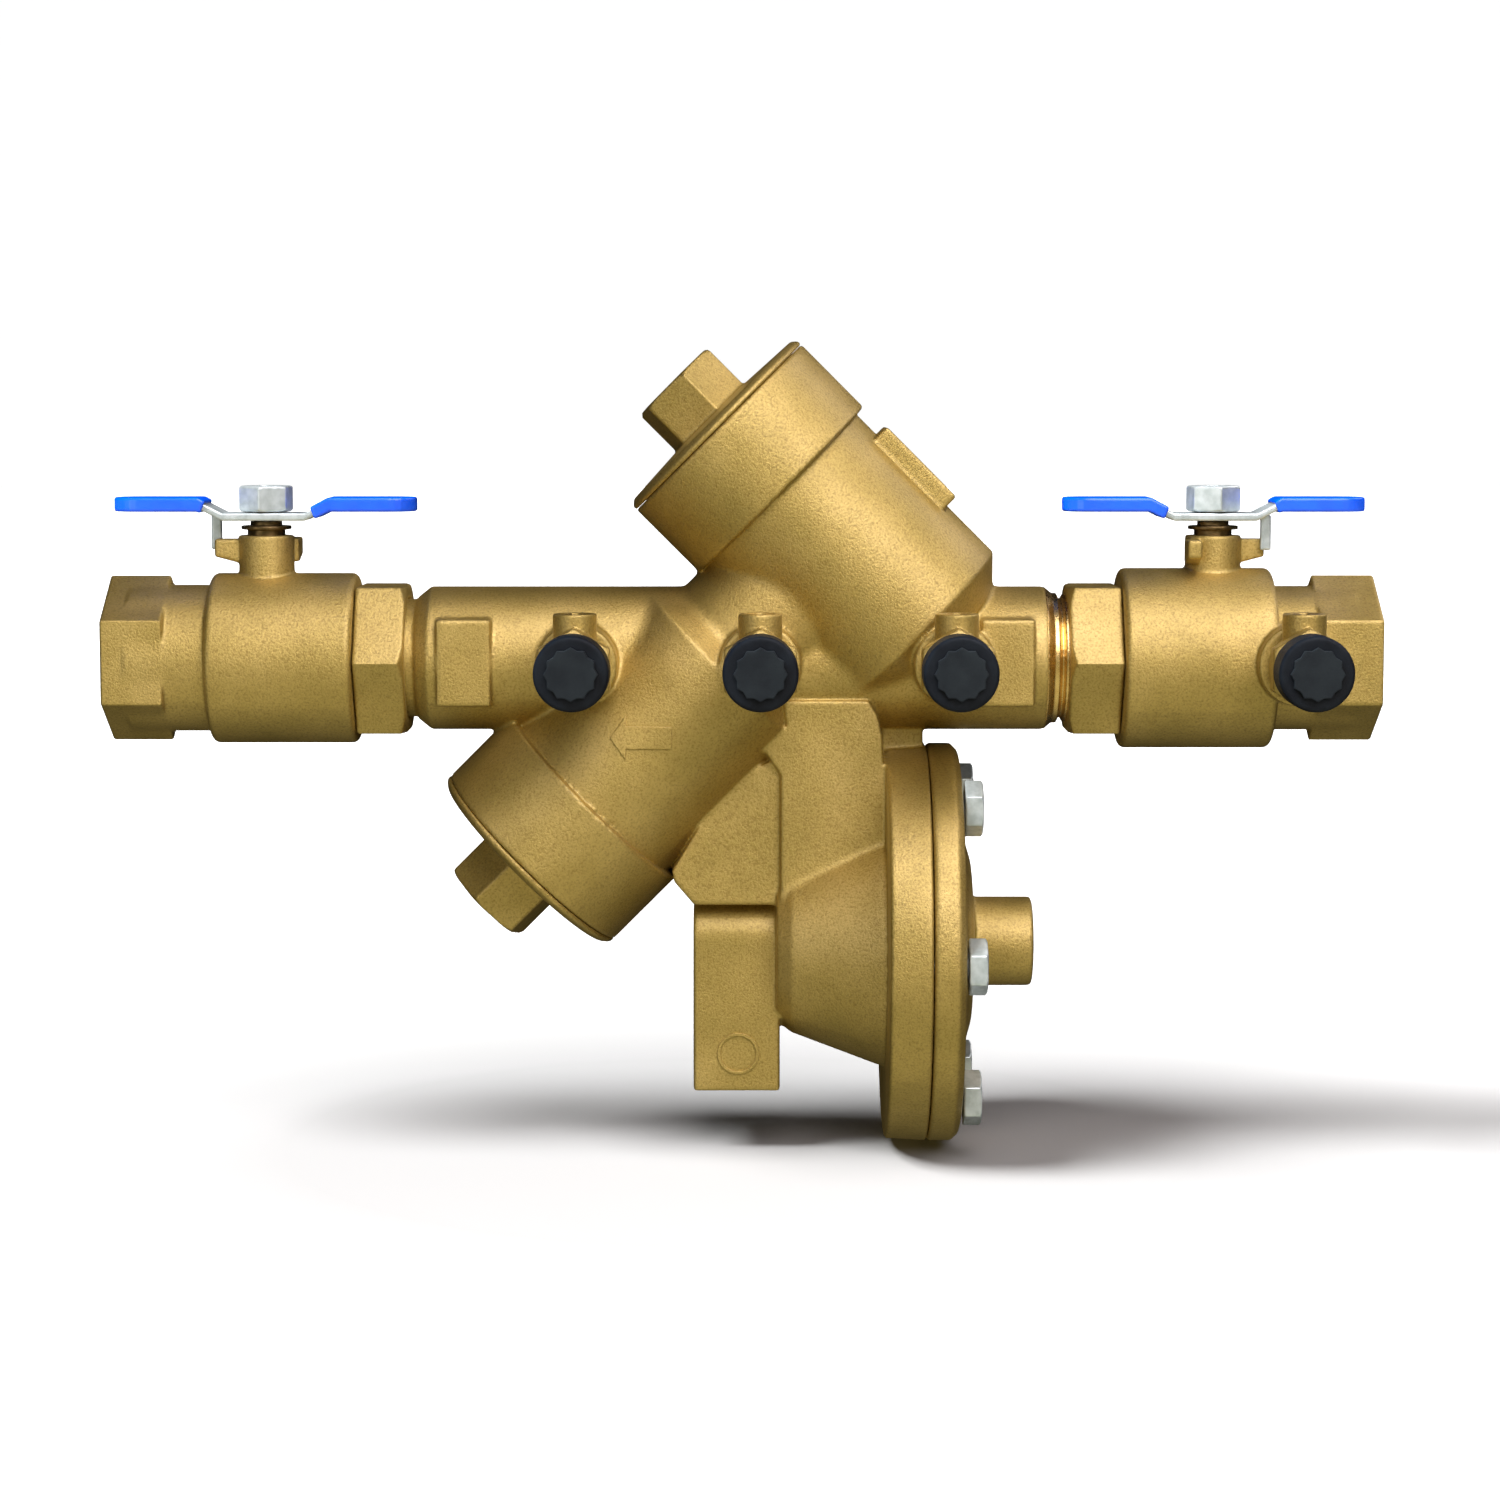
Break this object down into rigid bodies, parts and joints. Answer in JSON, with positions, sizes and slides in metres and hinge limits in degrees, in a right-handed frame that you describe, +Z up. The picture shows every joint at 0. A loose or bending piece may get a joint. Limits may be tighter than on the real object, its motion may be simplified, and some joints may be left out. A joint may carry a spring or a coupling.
{
  "type": "backflow preventer",
  "caption": "Brass reduced-pressure backflow preventer with two ball shut-off valves, angled check valves, a diaphragm relief valve and capped test cocks.",
  "frame": {"origin": "centre of the inlet end face on the pipe axis", "axes": "+X out of the inlet end along the pipe, +Z up, -Y towards the test cocks"},
  "size_m": [0.33, 0.1103, 0.2096],
  "materials": {
    "cast_brass": "sand-cast, fine grain, satin",
    "machined_brass": "machined, satin",
    "plated_steel": "zinc plated",
    "stainless_steel": "machined",
    "blue_vinyl": "dipped vinyl, smooth",
    "black_plastic": "moulded, fine texture",
    "black_rubber": "matt",
    "white_plastic": "moulded, smooth"
  },
  "bodies": {
    "root": {"check_1_cover": "cast_brass", "check_1_cover_seal": "black_rubber", "check_1_seat": "stainless_steel", "check_1_spring": "stainless_steel", "check_2_cover": "cast_brass", "check_2_cover_seal": "black_rubber", "check_2_seat": "stainless_steel", "check_2_spring": "stainless_steel", "inlet_packing_gland": "machined_brass", "inlet_valve_adapter": "machined_brass", "inlet_valve_body": "cast_brass", "inlet_valve_seat_inner": "white_plastic", "inlet_valve_seat_outer": "white_plastic", "main_casting": "cast_brass", "outlet_packing_gland": "machined_brass", "outlet_valve_adapter": "machined_brass", "outlet_valve_body": "cast_brass", "outlet_valve_seat_inner": "white_plastic", "outlet_valve_seat_outer": "white_plastic", "relief_bolt_1": "plated_steel", "relief_bolt_2": "plated_steel", "relief_bolt_3": "plated_steel", "relief_bolt_4": "plated_steel", "relief_bolt_5": "plated_steel", "relief_bolt_6": "plated_steel", "relief_cover": "cast_brass", "relief_diaphragm": "black_rubber", "relief_seat": "stainless_steel", "relief_spring": "stainless_steel", "testcock_1_body": "machined_brass", "testcock_2_body": "machined_brass", "testcock_3_body": "machined_brass", "testcock_4_body": "machined_brass"},
    "inlet_handle": {"inlet_handle_strap": "plated_steel", "inlet_grip_left": "blue_vinyl", "inlet_grip_right": "blue_vinyl", "inlet_handle_nut": "plated_steel", "inlet_stem": "machined_brass", "inlet_ball": "stainless_steel"},
    "outlet_handle": {"outlet_handle_strap": "plated_steel", "outlet_grip_left": "blue_vinyl", "outlet_grip_right": "blue_vinyl", "outlet_handle_nut": "plated_steel", "outlet_stem": "machined_brass", "outlet_ball": "stainless_steel"},
    "check_1_moving": {"check_1_poppet": "white_plastic", "check_1_disc": "black_rubber"},
    "check_2_moving": {"check_2_poppet": "white_plastic", "check_2_disc": "black_rubber"},
    "relief_moving": {"relief_stem": "stainless_steel", "relief_disc": "black_rubber"},
    "testcock_1_plug": {"testcock_1_stem": "machined_brass"},
    "testcock_1_cap": {"testcock_1_cap": "black_plastic"},
    "testcock_2_plug": {"testcock_2_stem": "machined_brass"},
    "testcock_2_cap": {"testcock_2_cap": "black_plastic"},
    "testcock_3_plug": {"testcock_3_stem": "machined_brass"},
    "testcock_3_cap": {"testcock_3_cap": "black_plastic"},
    "testcock_4_plug": {"testcock_4_stem": "machined_brass"},
    "testcock_4_cap": {"testcock_4_cap": "black_plastic"}
  },
  "joints": [
    {"name": "inlet_handle_turn", "type": "hinge", "parent": "root", "child": "inlet_handle", "pos_m": [-0.0421, 0, 0.037], "axis": [0, 0, -1], "range_deg": [0, 90]},
    {"name": "outlet_handle_turn", "type": "hinge", "parent": "root", "child": "outlet_handle", "pos_m": [-0.2891, 0, 0.037], "axis": [0, 0, -1], "range_deg": [0, 90]},
    {"name": "check_1_lift", "type": "slide", "parent": "root", "child": "check_1_moving", "axis": [-0.7071, 0, 0.7071], "range_m": [0, 0.007], "stiffness_N_per_m": 400, "springref_m": -0.02, "deforming": ["check_1_spring"]},
    {"name": "check_2_lift", "type": "slide", "parent": "root", "child": "check_2_moving", "axis": [-0.7071, 0, -0.7071], "range_m": [0, 0.007], "stiffness_N_per_m": 400, "springref_m": -0.015, "deforming": ["check_2_spring"]},
    {"name": "relief_travel", "type": "slide", "parent": "root", "child": "relief_moving", "axis": [-1, 0, 0], "range_m": [0, 0.006], "stiffness_N_per_m": 600, "springref_m": -0.01, "deforming": ["relief_spring", "relief_diaphragm"]},
    {"name": "testcock_1_turn", "type": "hinge", "parent": "root", "child": "testcock_1_plug", "pos_m": [-0.023, -0.0342, 0], "axis": [0, 0, 1], "range_deg": [0, 90]},
    {"name": "testcock_2_turn", "type": "hinge", "parent": "root", "child": "testcock_2_plug", "pos_m": [-0.1107, -0.0342, 0], "axis": [0, 0, 1], "range_deg": [0, 90]},
    {"name": "testcock_3_turn", "type": "hinge", "parent": "root", "child": "testcock_3_plug", "pos_m": [-0.1603, -0.0342, 0], "axis": [0, 0, 1], "range_deg": [0, 90]},
    {"name": "testcock_4_turn", "type": "hinge", "parent": "root", "child": "testcock_4_plug", "pos_m": [-0.2071, -0.0342, 0], "axis": [0, 0, 1], "range_deg": [0, 90]},
    {"name": "testcock_1_cap_off", "type": "slide", "parent": "root", "child": "testcock_1_cap", "axis": [0, -1, 0], "range_m": [0, 0.014]},
    {"name": "testcock_2_cap_off", "type": "slide", "parent": "root", "child": "testcock_2_cap", "axis": [0, -1, 0], "range_m": [0, 0.014]},
    {"name": "testcock_3_cap_off", "type": "slide", "parent": "root", "child": "testcock_3_cap", "axis": [0, -1, 0], "range_m": [0, 0.014]},
    {"name": "testcock_4_cap_off", "type": "slide", "parent": "root", "child": "testcock_4_cap", "axis": [0, -1, 0], "range_m": [0, 0.014]}
  ]
}
